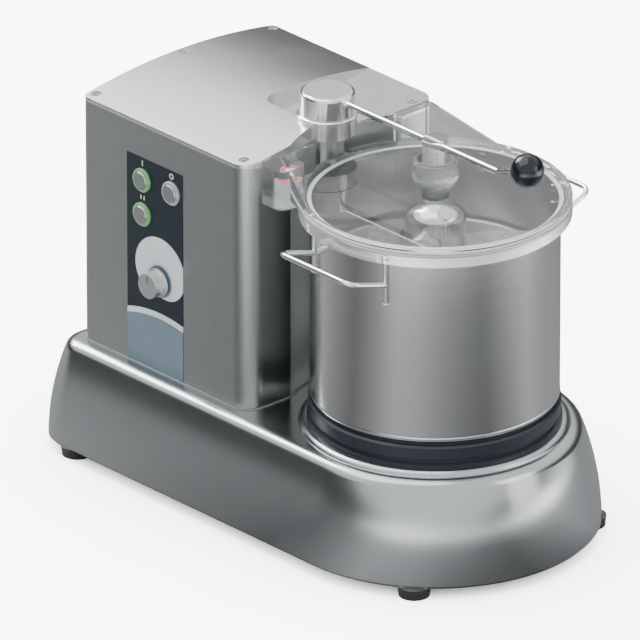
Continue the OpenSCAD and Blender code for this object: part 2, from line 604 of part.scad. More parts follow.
// Locating skirt bonded under the lid, with the lower half of the magnet pod.
module lid_skirt() color([0.80, 0.86, 0.88, 0.35]) at_bowl() difference() {
  union() {
    translate([0, 0, lid_z]) rotate_extrude()
      polygon([[lid_r - 4, -0.02], [lid_r - 4, -12], [lid_r - 3.4, -12.8], [lid_r - 0.6, -12.8],
        [lid_r, -12], [lid_r, -0.02]]);
    translate([-124, -114, z0 + 326]) pod_block(32, 33, lid_z - 0.02 - z0 - 326, 7);
  }
  translate([-103.4, -92.6, z0 + 320]) cylinder(r = 9.7, h = 31.2);
  translate([0, 0, lid_z - 40]) cylinder(r = bowl_r + 3.4, h = 42);
}
module pod_block(a, b, h, r) {
  translate([r, 0, 0]) cube([a - 2 * r, b, h]);
  translate([0, r, 0]) cube([a, b - 2 * r, h]);
  for (x = [r, a - r], y = [r, b - r]) translate([x, y, 0]) cylinder(r = r, h = h);
}
module lid_gasket() color([0.30, 0.32, 0.34]) at_bowl() translate([0, 0, rim_z + 0.02]) ring(bowl_r + 2.4, bowl_r - 1.6, 1.46);
module lid_magnet() color([0.84, 0.16, 0.24]) at_bowl() translate([-103.4, -92.6, z0 + 324]) difference() {
  cylinder(r = 9.5, h = 27);
  translate([0, 0, 25]) cylinder(r = 6, h = 4);
}
// Lid hub: stepped cup with a hook that the lever's rod swings into.
module lid_hub() color([0.82, 0.87, 0.89, 0.45]) at_bowl() translate([0, 0, hub_z + 0.02]) difference() {
  union() {
    cylinder(r = 13, h = 18);
    translate([0, 0, 12]) cylinder(r1 = 13, r2 = 20.2, h = 3.4);
    translate([0, 0, 15.3]) cylinder(r = 20.2, h = 3.4);
    translate([0, 0, 18]) cylinder(r = 19, h = 4);
    translate([0, 0, 20.6]) cylinder(r = 22.8, h = 4);
    translate([0, 0, 24]) cylinder(r = 21.3, h = 14);
    translate([0, 0, 37.9]) cylinder(r1 = 21.3, r2 = 19.8, h = 1.6);
    cylinder(r = 12.4, h = rod_z + 5.6 - hub_z);
    translate([0, 0, -7]) cylinder(r = 10, h = 10);
    translate([0, 0, -7]) ring(14, 9, 3.4);
  }
  translate([0, 0, 26]) ring(18, 12.8, 20);
  translate([0, 0, rod_z - hub_z - 3.7]) translate([-30, -3.7, 0]) cube([60, 40, 7.4]);
  translate([0, 0, -8]) cylinder(r = 5, h = 30);
}

// Blade hub: sleeve over the column, drive boss and bayonet notches.
module blade_hub() color([0.74, 0.76, 0.78]) at_bowl() translate([0, 0, bz]) difference() {
  union() {
    translate([0, 0, 5]) cylinder(r = 29.6, h = 148.6);
    translate([0, 0, 5]) cylinder(r = 33, h = 4);
    translate([0, 0, 22]) cylinder(r = 33, h = 5);
  }
  translate([0, 0, 4]) cylinder(r = 24.6, h = 122);
  translate([0, 0, 100]) cylinder(r = shaft_r + 0.02, h = 43.7);
  for (a = [0, 120, 240]) rotate([0, 0, a]) translate([26, -2, 146]) cube([6, 4, 9]);
}
// S-shaped serrated blade: curved back, saw-tooth cutting edge, round eye.
function blade_edge(n, i) = let (r = 36 + (blade_reach - 36) * i / n, a = 34 - 46 * pow(i / n, 1.2)) [r * cos(a), r * sin(a)];
function blade_back(n, i) = let (r = 36 + (blade_reach - 40) * i / n, a = 2 - 36 * pow(i / n, 1.1)) [r * cos(a), r * sin(a)];
function blade_tooth(n, i) = let (p = blade_edge(n, i), q = blade_edge(n, i + 1), m = (p + q) / 2, k = norm(m)) m * (k - 2.6) / k + [0.9, -1.6];
module blade() difference() {
  n = blade_teeth;
  union() {
    cylinder(r = 34.5, h = 2.6);
    for (k = [0, 180]) rotate([0, 0, k]) linear_extrude(2.6) polygon(concat([[22, 10], [26, 22]],
      [for (i = [0 : n - 1]) each [blade_edge(n, i), blade_tooth(n, i)]], [blade_edge(n, n)],
      [for (i = [n : -1 : 0]) blade_back(n, i)], [[26, -8]]));
  }
  translate([0, 0, -1]) cylinder(r = 29.65, h = 5);
}
module lower_blade() color([0.78, 0.80, 0.82]) at_bowl() translate([0, 0, bz + 9.05]) blade();
module upper_blade() color([0.78, 0.80, 0.82]) at_bowl() translate([0, 0, bz + 27.05]) rotate([0, 0, 90]) blade();
module blade_cap() color([0.86, 0.87, 0.88]) at_bowl() translate([0, 0, bz + 153.62]) difference() {
  intersection() {
    translate([0, 0, -18]) sphere(r = 35);
    cylinder(r = 60, h = 40);
  }
  translate([0, 0, -1]) cylinder(r = 8, h = 4);
}

base_casting();
base_plate();
base_plate_screws();
rubber_feet();
foot_screws();
housing_shell();
top_cover();
top_cover_screws();
control_label();
start_bezel();
pulse_bezel();
stop_bezel();
switch_bodies();
speed_potentiometer();
control_board();
board_parts();
board_posts();
bowl_seat_ring();
spindle_housing();
upper_bearing();
lower_bearing();
motor_case();
motor_stator();
motor_flange();
motor_bolts();
drive_belt();
cable_gland();
lid_sensor();
lever_base_ring();
lever_bush();
lever_switch();
bowl();
front_handle();
rear_handle();
lid();
lid_skirt();
lid_gasket();
lid_hub();
lid_magnet();
spindle_shaft();
spindle_pulley();
blade_hub();
lower_blade();
upper_blade();
blade_cap();
motor_shaft();
motor_rotor();
motor_pulley();
lever_cap();
lever_shaft();
lever_cam();
lever_rod();
lever_ball();
start_button();
pulse_button();
stop_button();
speed_knob();
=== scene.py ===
"""Looks of the bowl cutter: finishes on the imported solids, small trim pieces, studio and camera."""

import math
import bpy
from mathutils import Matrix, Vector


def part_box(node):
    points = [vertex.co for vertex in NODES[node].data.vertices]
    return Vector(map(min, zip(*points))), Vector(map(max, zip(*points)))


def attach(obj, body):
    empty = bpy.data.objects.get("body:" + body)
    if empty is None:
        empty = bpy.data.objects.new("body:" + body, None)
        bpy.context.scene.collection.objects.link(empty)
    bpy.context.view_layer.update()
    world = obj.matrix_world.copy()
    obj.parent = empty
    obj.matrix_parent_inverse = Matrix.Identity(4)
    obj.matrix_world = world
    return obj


bl_info = {
    "name": "Bowl cutter looks",
    "version": (1, 0, 0),
    "blender": (4, 5, 0),
    "location": "3D View > Sidebar > Bowl cutter",
    "description": "Finishes, trim and studio for the table-top bowl cutter",
    "category": "Object",
}

import bmesh
import bpy
from mathutils import Vector

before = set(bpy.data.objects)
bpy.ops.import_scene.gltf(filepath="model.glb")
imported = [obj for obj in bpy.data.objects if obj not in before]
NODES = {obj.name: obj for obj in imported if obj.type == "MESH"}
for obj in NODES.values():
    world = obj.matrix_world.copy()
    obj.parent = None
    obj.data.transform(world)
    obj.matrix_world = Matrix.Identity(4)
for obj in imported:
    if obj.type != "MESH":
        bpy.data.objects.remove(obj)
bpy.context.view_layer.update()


def middle(node):
    """Middle of a CAD node's box."""
    low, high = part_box(node)
    return [(low[i] + high[i]) / 2 for i in range(3)]


# Places read from the nodes imported from model.glb, in metres.
BOWL_AXIS = (middle("spindle_shaft")[0], 0.0, 0.0)
LEVER_AXIS = (middle("lever_bush")[0], 0.0, 0.0)
LABEL_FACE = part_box("control_label")[0][1]
KNOB_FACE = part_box("speed_knob")[0][1]
KNOB_X, _, KNOB_Z = middle("speed_knob")
HOUSING_LOW, HOUSING_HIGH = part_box("housing_shell")
DECK_Z = HOUSING_LOW[2]

# Painted shade: radius inside which the bowl's colour is darkened, how much darker it is there, and how soft the
# border is.
BOWL_INSIDE, INSIDE_SHADE_DARKENING, INSIDE_SHADE_BORDER = 0.1192, 0.38, 0.0004

# The label's print, in metres: the slate disc under the knob, and how far the light crescent swells past it.
DISC_RADIUS, CRESCENT_SWELL, CRESCENT_TAPER = 0.0165, 0.029, 1.6
# Its slate foot lies in a wide circle, whose middle is this far below the knob, with a light arc round it.
FOOT_DROP, FOOT_RADIUS, ARC_RADIUS = 0.190, 0.150, 0.156
# Softness of a printed border.
PRINT_BORDER = 0.00015
# The captions: height above a button's middle, width of a stroke, and the ring's radius and width.
CAPTION_LIFT, STROKE_WIDTH, RING_RADIUS, RING_WIDTH = 0.0175, 0.0013, 0.0030, 0.0012
# Radii of the magnet's pale core and of its steel wall.
MAGNET_CORE, MAGNET_WALL = 0.0058, 0.0092

# Clear plastic: how far it fades for shadows and in mirrors, so that it barely darkens what is near, and its smears.
CLEAR_FADE, CLEAR_SMEARS = 0.86, 0.25

# What wiping and dust do to a finish: shade of a smear, added roughness of each, colour of dust.
SMEAR_SHADE, SMEAR_ROUGHNESS, DUST_ROUGHNESS, DUST_COLOUR = 0.80, 0.14, 0.4, (0.42, 0.40, 0.37)
# Depth of the finest relief that a grain may have.
RELIEF_DEPTH = 0.0006

# Painted reflection: brightness of the floor where metal mirrors it, by compass angle round the bowl, in degrees.
FLOOR_FIELDS = (
    (-180, 0.20), (-158, 0.25), (-140, 0.17), (-115, 0.10), (-95, 0.18), (-75, 0.32), (-55, 0.27), (-38, 0.19),
    (-20, 0.14), (-1, 0.11), (20, 0.20), (42, 0.34), (62, 0.26), (89, 0.22), (120, 0.14), (150, 0.45), (180, 0.20))
# The painted reflection also has a brighter far floor on one side: where it starts, how fast it rises outwards, which
# way it lies (an angle in radians), how fast it rises sideways, and how much brighter it gets.
FAR_START, FAR_RISE, FAR_TURN, FAR_SPREAD, FAR_GAIN = 0.85, 2.5, 0.17, 1.6, 9.0
# Reach of the soft painted shadow where the feet stand: the floor's glow towards the camera dims there by ambient
# occlusion.
SHADOW_REACH = 0.20
# Brightness of the room by height above the horizon, as the sine of the angle.
ROOM_LIGHT = ((0.0, 0.08), (0.28, 0.12), (0.355, 0.28), (0.42, 1.30), (0.60, 1.55), (1.0, 1.50))
# Direction, from above, of the side of the room whose light starts lower, and by how much.
ROOM_FRONT, ROOM_LIFT = (0.74, -0.67), 0.42
# Width of the camera's sensor in millimetres, and of the photograph in points.
SENSOR_WIDTH, PHOTO_WIDTH = 36.0, 640.0


# Settings that a user would change.


class StudioSettings(bpy.types.PropertyGroup):
    camera_distance: bpy.props.FloatProperty(
        name="Camera distance", description="Distance from the machine to the camera", default=16.0, unit="LENGTH")
    pixels_per_metre: bpy.props.FloatProperty(
        name="Picture scale", description="Picture points that one metre takes", default=1047.0)
    view_point: bpy.props.FloatVectorProperty(
        name="View point", description="Point at the middle of the picture", default=(0.0479, -0.0810, 0.2193),
        subtype="TRANSLATION", unit="LENGTH")
    view_from: bpy.props.FloatVectorProperty(
        name="View from", description="Direction from the machine to the camera", default=(0.6695, -0.6121, 0.4207),
        subtype="DIRECTION")
    key_power: bpy.props.FloatProperty(
        name="Key light", description="Power of the large overhead light", default=38.0, unit="POWER")
    rim_power: bpy.props.FloatProperty(
        name="Back light", description="Power of the light behind the machine", default=7.0, unit="POWER")
    side_power: bpy.props.FloatProperty(
        name="Side light", description="Power of the light on the bowl's side", default=10.0, unit="POWER")
    edge_power: bpy.props.FloatProperty(
        name="Left lamp", description="Power of the soft lamp that draws the bright edge of the deck", default=88.0,
        unit="POWER")
    sky_strength: bpy.props.FloatProperty(
        name="Room light", description="Strength of the even light of the room", default=0.8)
    floor_size: bpy.props.FloatProperty(
        name="Floor size", description="Width of the floor sheet", default=60.0, unit="LENGTH")
    floor_colour: bpy.props.FloatVectorProperty(
        name="Floor", description="Colour of the floor sheet", default=(0.90, 0.90, 0.90), subtype="COLOR")
    floor_glow: bpy.props.FloatProperty(
        name="Backdrop", description="Even light that the floor sheet gives off towards the picture", default=7.0)


class FinishSettings(bpy.types.PropertyGroup):
    casting: bpy.props.FloatVectorProperty(
        name="Casting", description="Colour of the cast base", default=(0.50, 0.525, 0.53), subtype="COLOR")
    housing: bpy.props.FloatVectorProperty(
        name="Housing", description="Colour of the brushed housing", default=(0.437, 0.456, 0.451), subtype="COLOR")
    cover: bpy.props.FloatVectorProperty(
        name="Cover", description="Colour of the top cover", default=(0.77, 0.775, 0.77), subtype="COLOR")
    bowl: bpy.props.FloatVectorProperty(
        name="Bowl", description="Colour of the spun bowl", default=(0.581, 0.590, 0.590), subtype="COLOR")
    chrome: bpy.props.FloatVectorProperty(
        name="Chrome", description="Colour of the bright trim", default=(0.90, 0.91, 0.92), subtype="COLOR")
    navy: bpy.props.FloatVectorProperty(
        name="Label top", description="Dark field of the label", default=(0.003, 0.011, 0.018), subtype="COLOR")
    slate: bpy.props.FloatVectorProperty(
        name="Label foot", description="Slate field of the label", default=(0.115, 0.165, 0.205), subtype="COLOR")
    scale: bpy.props.FloatVectorProperty(
        name="Speed scale", description="Light crescent round the knob", default=(0.54, 0.58, 0.59), subtype="COLOR")


class TrimSettings(bpy.types.PropertyGroup):
    bead_radius: bpy.props.FloatProperty(
        name="Bead", description="Radius of the sealing bead round the housing's foot", default=0.0012, unit="LENGTH")
    print_height: bpy.props.FloatProperty(
        name="Print height", description="Thickness of the printed marks", default=0.00012, unit="LENGTH")
    weld_radius: bpy.props.FloatProperty(
        name="Weld", description="Radius of the weld round each handle pad", default=0.0011, unit="LENGTH")


# Helpers for shader nodes.


def feed(tree, sockets, values):
    """Links each of these inputs to another node's output, or gives it a value of its own."""
    for label, value in values.items():
        if isinstance(value, bpy.types.NodeSocket):
            tree.links.new(value, sockets[label])
        else:
            sockets[label].default_value = value


def add_node(tree, kind, inputs=None, **settings):
    """A node with its settings, and with its inputs fed by name or number."""
    node = tree.nodes.new(kind)
    for key, value in settings.items():
        setattr(node, key, value)
    feed(tree, node.inputs, inputs or {})
    return node


def maths(tree, operation, *values, clamp=False):
    """A Math node on sockets and plain numbers; gives its output."""
    return add_node(tree, "ShaderNodeMath", dict(enumerate(values)), operation=operation, use_clamp=clamp).outputs[0]


def parts(tree, vector):
    """The X, Y and Z of a vector, as sockets."""
    return add_node(tree, "ShaderNodeSeparateXYZ", {0: vector}).outputs


def distance(tree, first, second):
    """Distance from an axis, from the two offsets across it."""
    return maths(tree, "SQRT", maths(tree, "MULTIPLY_ADD", second, second, maths(tree, "MULTIPLY", first, first)))


def turn_share(tree, turn):
    """An angle in radians, from half a turn back to half a turn on, as 0 to 1."""
    return maths(tree, "MULTIPLY_ADD", turn, 0.5 / math.pi, 0.5)


def span(tree, value, low, high, start=0.0, end=1.0):
    """Goes from start to end while the value goes from low to high, and no further."""
    inputs = {"Value": value, "From Min": low, "From Max": high, "To Min": start, "To Max": end}
    return add_node(tree, "ShaderNodeMapRange", inputs).outputs[0]


def border(tree, reach, radius, within, beyond, soft=PRINT_BORDER):
    """One value within a radius and another beyond it, with a soft border."""
    return span(tree, reach, radius - soft, radius + soft, within, beyond)


def blend_colours(tree, mask, first, second):
    """A colour mix by a mask; colours are sockets or plain triples."""
    first, second = (
        value if isinstance(value, bpy.types.NodeSocket) else (*value[:3], 1.0) for value in (first, second))
    # the Mix node has its factor, colours and mixed colour at these places among its sockets
    node = add_node(tree, "ShaderNodeMix", {0: mask, 6: first, 7: second}, data_type="RGBA", clamp_factor=True)
    return node.outputs[2]


def grey_ramp(tree, value, levels):
    """Cool greys along a value, from pairs of position and brightness; the first is at 0 and the last at 1."""
    node = add_node(tree, "ShaderNodeValToRGB", {"Fac": value})
    stops = node.color_ramp.elements
    for stop, (_, level) in zip((stops[0], stops[1]), (levels[0], levels[-1])):
        stop.color = (level, level * 1.01, level * 1.02, 1.0)
    for position, level in levels[1:-1]:
        stops.new(position).color = (level, level * 1.01, level * 1.02, 1.0)
    return node.outputs["Color"]


def noise(tree, inputs):
    """A Noise node; gives its grey output."""
    return add_node(tree, "ShaderNodeTexNoise", inputs).outputs["Fac"]


def arrange(tree, width=200, height=260):
    """Lays a tree out in columns, with each node left of all that it feeds."""
    columns = {node.name: 0 for node in tree.nodes}
    for _ in tree.nodes:
        for link in tree.links:
            columns[link.from_node.name] = max(columns[link.from_node.name], columns[link.to_node.name] + 1)
    rows = {}
    for node in tree.nodes:
        column = columns[node.name]
        rows[column] = rows.get(column, 0) + 1
        node.location = (-width * column, -height * rows[column])


# Effects that many materials share, each a node group.


def put_out_grain(tree, entry, leave, pattern, level, polish, height):
    """Puts a pattern out as a shade factor, a roughness shift and a height."""
    scaled = maths(tree, "MULTIPLY", maths(tree, "SUBTRACT", pattern, level), entry["Contrast"])
    tree.links.new(maths(tree, "ADD", scaled, 1.0), leave["Shade"])
    tree.links.new(maths(tree, "MULTIPLY", scaled, polish), leave["Polish"])
    tree.links.new(height, leave["Height"])


def drawn_out_noise(tree, entry, leave, *offsets):
    """Grain from noise that is drawn out along some of the three offsets."""
    join = add_node(tree, "ShaderNodeCombineXYZ", dict(enumerate(offsets)))
    lines = noise(tree, {"Vector": join.outputs[0], "Scale": 1.0, "Detail": 3.0})
    put_out_grain(tree, entry, leave, lines, 0.5, 0.6, lines)


def brushed_grain(tree, entry, leave):
    """Straight grain: long along X and Y, fine along Z of the vector that comes in."""
    x, y, z = parts(tree, entry["Vector"])
    drawn_out_noise(tree, entry, leave, maths(tree, "MULTIPLY", x, 9.0), maths(tree, "MULTIPLY", y, 9.0),
                    maths(tree, "MULTIPLY", z, entry["Fineness"]))


def turned_grain(tree, entry, leave):
    """Rings round the Z axis of the vector that comes in, as a lathe or a spinning tool leaves them."""
    x, y, z = parts(tree, entry["Vector"])
    drawn_out_noise(tree, entry, leave, maths(tree, "MULTIPLY", distance(tree, x, y), entry["Fineness"]),
                    maths(tree, "SINE", maths(tree, "ARCTAN2", y, x)), maths(tree, "MULTIPLY", z, entry["Fineness"]))


def moulded_grain(tree, entry, leave):
    """Even fine pebbling with slow clouds in it, as on castings, paint, rubber and plastic."""
    fine = noise(tree, {"Vector": entry["Vector"], "Scale": entry["Fineness"], "Detail": 2.0})
    slow = noise(tree, {"Vector": entry["Vector"], "Scale": 14.0, "Detail": 2.0})
    put_out_grain(tree, entry, leave, maths(tree, "MULTIPLY_ADD", fine, 0.4, slow), 0.7, 0.7, fine)


def wiping_marks(tree, entry, leave):
    """Faint smears and hair scratches from cleaning, as a mask from 0 to 1."""
    smear = noise(tree, {"Vector": entry["Vector"], "Scale": 22.0, "Detail": 5.0, "Distortion": 1.2})
    hair = add_node(
        tree, "ShaderNodeTexWave", {"Vector": entry["Vector"], "Scale": 60.0, "Distortion": 14.0, "Detail": 3.0},
        wave_type="BANDS", bands_direction="DIAGONAL").outputs["Fac"]
    both = maths(tree, "MULTIPLY_ADD", span(tree, hair, 0.93, 1.0), 0.35, span(tree, smear, 0.46, 0.72))
    tree.links.new(maths(tree, "MULTIPLY", both, entry["Amount"], clamp=True), leave["Mask"])


def settled_dust(tree, entry, leave):
    """Dust that lies on faces that look up, thicker where the noise is, as a mask from 0 to 1."""
    facing = add_node(tree, "ShaderNodeNewGeometry").outputs["Normal"]
    lying = span(tree, parts(tree, facing)[2], 0.35, 1.0)
    clouds = noise(tree, {"Vector": entry["Vector"], "Scale": 90.0, "Detail": 4.0})
    patch = maths(tree, "MULTIPLY", lying, clouds)
    tree.links.new(maths(tree, "MULTIPLY", patch, entry["Amount"], clamp=True), leave["Mask"])


FLOAT, VECTOR = "NodeSocketFloat", "NodeSocketVector"
GRAIN_INPUTS = (("Vector", VECTOR, None), ("Fineness", FLOAT, 900.0), ("Contrast", FLOAT, 0.1))
GRAIN_OUTPUTS = ("Shade", "Polish", "Height")
# By name: what fills the group, its inputs with their kinds and defaults, and its outputs.
EFFECTS = {
    "brushed grain": (brushed_grain, GRAIN_INPUTS, GRAIN_OUTPUTS),
    "turned grain": (turned_grain, GRAIN_INPUTS, GRAIN_OUTPUTS),
    "moulded grain": (moulded_grain, GRAIN_INPUTS, GRAIN_OUTPUTS),
    "wiping marks": (wiping_marks, (("Vector", VECTOR, None), ("Amount", FLOAT, 0.3)), ("Mask",)),
    "settled dust": (settled_dust, (("Vector", VECTOR, None), ("Amount", FLOAT, 0.2)), ("Mask",)),
}


def place_group(material, name, vector, **values):
    """Places an effect in a material, and builds its group the first time; gives its outputs."""
    if name not in bpy.data.node_groups:
        fill, inputs, outputs = EFFECTS[name]
        group = bpy.data.node_groups.new(name, "ShaderNodeTree")
        for label, kind, value in inputs:
            socket = group.interface.new_socket(name=label, in_out="INPUT", socket_type=kind)
            if value is not None:
                socket.default_value = value
        for label in outputs:
            group.interface.new_socket(name=label, in_out="OUTPUT", socket_type=FLOAT)
        fill(group, add_node(group, "NodeGroupInput").outputs, add_node(group, "NodeGroupOutput").inputs)
    values["Vector"] = vector
    return add_node(
        material.node_tree, "ShaderNodeGroup", values, node_tree=bpy.data.node_groups[name]).outputs


# Materials.


def new_material(name):
    """A material with its Principled shader and Object coordinates; gives material, shader and coordinates."""
    material = bpy.data.materials.new(name)
    material.use_nodes = True
    tree = material.node_tree
    tree.nodes.clear()
    shader = add_node(tree, "ShaderNodeBsdfPrincipled")
    add_node(tree, "ShaderNodeOutputMaterial", {"Surface": shader.outputs[0]})
    return material, shader, add_node(tree, "ShaderNodeTexCoord").outputs["Object"]


def moved(material, vector, centre=(0, 0, 0), turn=(0, 0, 0)):
    """Object coordinates with a piece's own axis at the origin, turned so that it lies along Z."""
    inputs = {"Vector": vector, "Location": centre, "Rotation": turn}
    return add_node(material.node_tree, "ShaderNodeMapping", inputs, vector_type="TEXTURE").outputs[0]


def finish(name, colour, grain, fineness=600.0, contrast=0.12, rough=0.35, metal=1.0, bump=0.02, marks=0.2, dust=0.0,
           centre=(0, 0, 0), turn=(0, 0, 0), coat=0.0, sheen=0.0, specular=0.5, round_edge=0.0004):
    """One finished surface: base colour with grain, smears and dust, roughness and bump from the same grain."""
    material, shader, place = new_material(name)
    tree = material.node_tree
    local = moved(material, place, centre, turn)
    lines = place_group(material, grain + " grain", local, Fineness=fineness, Contrast=contrast)
    smears = place_group(material, "wiping marks", place, Amount=marks)["Mask"]
    shaded = add_node(tree, "ShaderNodeHueSaturation", {"Color": (*colour[:3], 1.0), "Value": lines["Shade"]})
    seen = blend_colours(tree, smears, shaded.outputs[0], [SMEAR_SHADE * c for c in colour[:3]])
    roughness = maths(tree, "ADD", lines["Polish"], rough)
    roughness = maths(tree, "MULTIPLY_ADD", smears, SMEAR_ROUGHNESS, roughness, clamp=True)
    if dust:
        lying = place_group(material, "settled dust", place, Amount=dust)["Mask"]
        seen = blend_colours(tree, lying, seen, DUST_COLOUR)
        roughness = maths(tree, "MULTIPLY_ADD", lying, DUST_ROUGHNESS, roughness, clamp=True)
    relief = add_node(
        tree, "ShaderNodeBump", {"Strength": bump, "Distance": RELIEF_DEPTH, "Height": lines["Height"]})
    if round_edge:
        softened = add_node(tree, "ShaderNodeBevel", {"Radius": round_edge}, samples=4)
        tree.links.new(softened.outputs[0], relief.inputs["Normal"])
    feed(tree, shader.inputs, {
        "Base Color": seen, "Roughness": roughness, "Normal": relief.outputs[0], "Metallic": metal,
        "Specular IOR Level": specular, "Coat Weight": coat, "Coat Roughness": 0.12, "Sheen Weight": sheen})
    return material


def give(material, *names):
    """Puts the material on every slot of these CAD nodes."""
    for name in names:
        for slot in NODES[name].material_slots:
            slot.material = material


# Helpers for modelling.


def begin():
    """Leaves edit mode and deselects everything."""
    if bpy.context.object and bpy.context.object.mode != "OBJECT":
        bpy.ops.object.mode_set(mode="OBJECT")
    bpy.ops.object.select_all(action="DESELECT")


def close(name, material, body, smooth=40.0):
    """Bakes the active piece's place into its mesh, names it, finishes it and puts it on its body."""
    piece = bpy.context.object
    if piece.mode != "OBJECT":
        bpy.ops.object.mode_set(mode="OBJECT")
    bpy.ops.object.select_all(action="DESELECT")
    piece.select_set(True)
    bpy.ops.object.transform_apply(location=True, rotation=True, scale=True)
    piece.name = name
    piece.data.name = name
    piece.data.materials.clear()
    piece.data.materials.append(material)
    bpy.ops.object.shade_smooth_by_angle(angle=math.radians(smooth))
    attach(piece, body)
    return piece


def pick(kind, test):
    """Selects, in edit mode, just the faces, edges or verts that pass the test."""
    bpy.ops.mesh.select_mode(type={"faces": "FACE", "edges": "EDGE", "verts": "VERT"}[kind])
    bpy.ops.mesh.select_all(action="DESELECT")
    data = bpy.context.object.data
    work = bmesh.from_edit_mesh(data)
    chosen = [item for item in getattr(work, kind) if test(item)]
    if not chosen:
        raise RuntimeError("no %s found to work on" % kind)
    for item in chosen:
        item.select_set(True)
    work.select_flush_mode()
    bmesh.update_edit_mesh(data)


def edit():
    """Goes into edit mode on the active piece."""
    bpy.ops.object.mode_set(mode="EDIT")


def add_block(place, size):
    """A block of this size with its middle at this place, left in edit mode."""
    begin()
    bpy.ops.mesh.primitive_cube_add(size=1.0, location=place)
    bpy.context.object.scale = size
    bpy.ops.object.transform_apply(location=True, rotation=True, scale=True)
    edit()


def apply_modifier(piece, kind, **settings):
    """Leaves edit mode, and adds a modifier with its settings and applies it."""
    bpy.ops.object.mode_set(mode="OBJECT")
    modifier = piece.modifiers.new(kind.lower(), kind)
    for key, value in settings.items():
        setattr(modifier, key, value)
    bpy.ops.object.modifier_apply(modifier=modifier.name)


# Finishes.


class FINISH_OT_casting(bpy.types.Operator):
    """Polished casting, its plate, screws and feet"""

    bl_idname = "bowlcutter.finish_casting"
    bl_label = "Finish the base"

    def execute(self, context):
        colours = context.scene.bowlcutter_finish
        casting = finish("polished casting", colours.casting, "moulded", fineness=1400.0, contrast=0.04, rough=0.20,
                         bump=0.008, marks=0.06, round_edge=0.0015)
        plate = finish("rolled plate", (0.50, 0.51, 0.52), "brushed", fineness=700.0, contrast=0.14, rough=0.38,
                       turn=(math.pi / 2, 0, 0), marks=0.3)
        screws = finish("zinc screws", (0.62, 0.63, 0.62), "moulded", fineness=2600.0, contrast=0.2, rough=0.33,
                        marks=0.3)
        rubber = finish("foot rubber", (0.018, 0.018, 0.020), "moulded", fineness=2400.0, contrast=0.35, rough=0.66,
                        metal=0.0, bump=0.1, marks=0.1, dust=0.35, sheen=0.1)
        give(casting, "base_casting")
        give(plate, "base_plate")
        give(screws, "base_plate_screws", "foot_screws", "top_cover_screws", "board_posts", "motor_bolts")
        give(rubber, "rubber_feet")
        return {"FINISHED"}


class FINISH_OT_housing(bpy.types.Operator):
    """Brushed steel housing and its crowned cover"""

    bl_idname = "bowlcutter.finish_housing"
    bl_label = "Finish the housing"

    def execute(self, context):
        colours = context.scene.bowlcutter_finish
        sheet = finish("brushed housing sheet", colours.housing, "brushed", fineness=1500.0, contrast=0.11, rough=0.31,
                       bump=0.015, marks=0.18, round_edge=0.001)
        cover = finish("satin cover", colours.cover, "moulded", fineness=1200.0, contrast=0.06, rough=0.24,
                       bump=0.008, marks=0.08, round_edge=0.001)
        give(sheet, "housing_shell")
        give(cover, "top_cover")
        gland = finish("black moulding", (0.020, 0.021, 0.023), "moulded", fineness=2000.0, contrast=0.25, rough=0.45,
                       metal=0.0, bump=0.05, dust=0.1)
        give(gland, "cable_gland", "lid_sensor", "lever_switch", "switch_bodies")
        return {"FINISHED"}


class FINISH_OT_label(bpy.types.Operator):
    """Printed control label: dark field, slate foot, and a light crescent round the speed knob"""

    bl_idname = "bowlcutter.finish_label"
    bl_label = "Print the label"

    def execute(self, context):
        colours = context.scene.bowlcutter_finish
        navy, slate, scale = tuple(colours.navy), tuple(colours.slate), tuple(colours.scale)
        material, shader, place = new_material("printed label")
        tree = material.node_tree
        across, _, up = parts(tree, moved(material, place, (KNOB_X, LABEL_FACE, KNOB_Z)))
        reach = distance(tree, across, up)
        # share of a full turn round the knob, from straight above it
        turn = maths(tree, "ARCTAN2", maths(tree, "MULTIPLY", across, -1.0), maths(tree, "MULTIPLY", up, -1.0))
        share = turn_share(tree, turn)
        # crescent: its outer edge swells from the knob's disc, widest straight above the knob
        swell = maths(tree, "ABSOLUTE", maths(tree, "COSINE", maths(tree, "MULTIPLY", share, math.pi)))
        swell = maths(tree, "POWER", swell, CRESCENT_TAPER)
        outer = maths(tree, "MULTIPLY_ADD", swell, CRESCENT_SWELL, DISC_RADIUS)
        crescent = border(tree, maths(tree, "SUBTRACT", outer, reach), 0.0, 0.0, 1.0)
        # slate foot: everything inside a wide circle that rises from below
        low_reach = distance(tree, across, maths(tree, "ADD", up, FOOT_DROP))
        arc = maths(tree, "MULTIPLY", border(tree, low_reach, FOOT_RADIUS, 0.0, 1.0),
                    border(tree, low_reach, ARC_RADIUS, 1.0, 0.0))
        field = blend_colours(tree, border(tree, low_reach, FOOT_RADIUS, 1.0, 0.0), navy, slate)
        field = blend_colours(tree, arc, field, scale)
        field = blend_colours(tree, crescent, field, scale)
        field = blend_colours(tree, border(tree, reach, DISC_RADIUS, 1.0, 0.0), field, slate)
        fibre = place_group(material, "moulded grain", place, Fineness=3000.0, Contrast=0.10)["Shade"]
        worn = add_node(tree, "ShaderNodeHueSaturation", {"Color": field, "Value": fibre}).outputs[0]
        smears = place_group(material, "wiping marks", place, Amount=0.4)["Mask"]
        feed(tree, shader.inputs, {
            "Base Color": worn, "Roughness": maths(tree, "MULTIPLY_ADD", smears, 0.15, 0.30), "Coat Weight": 0.15})
        give(material, "control_label")
        return {"FINISHED"}


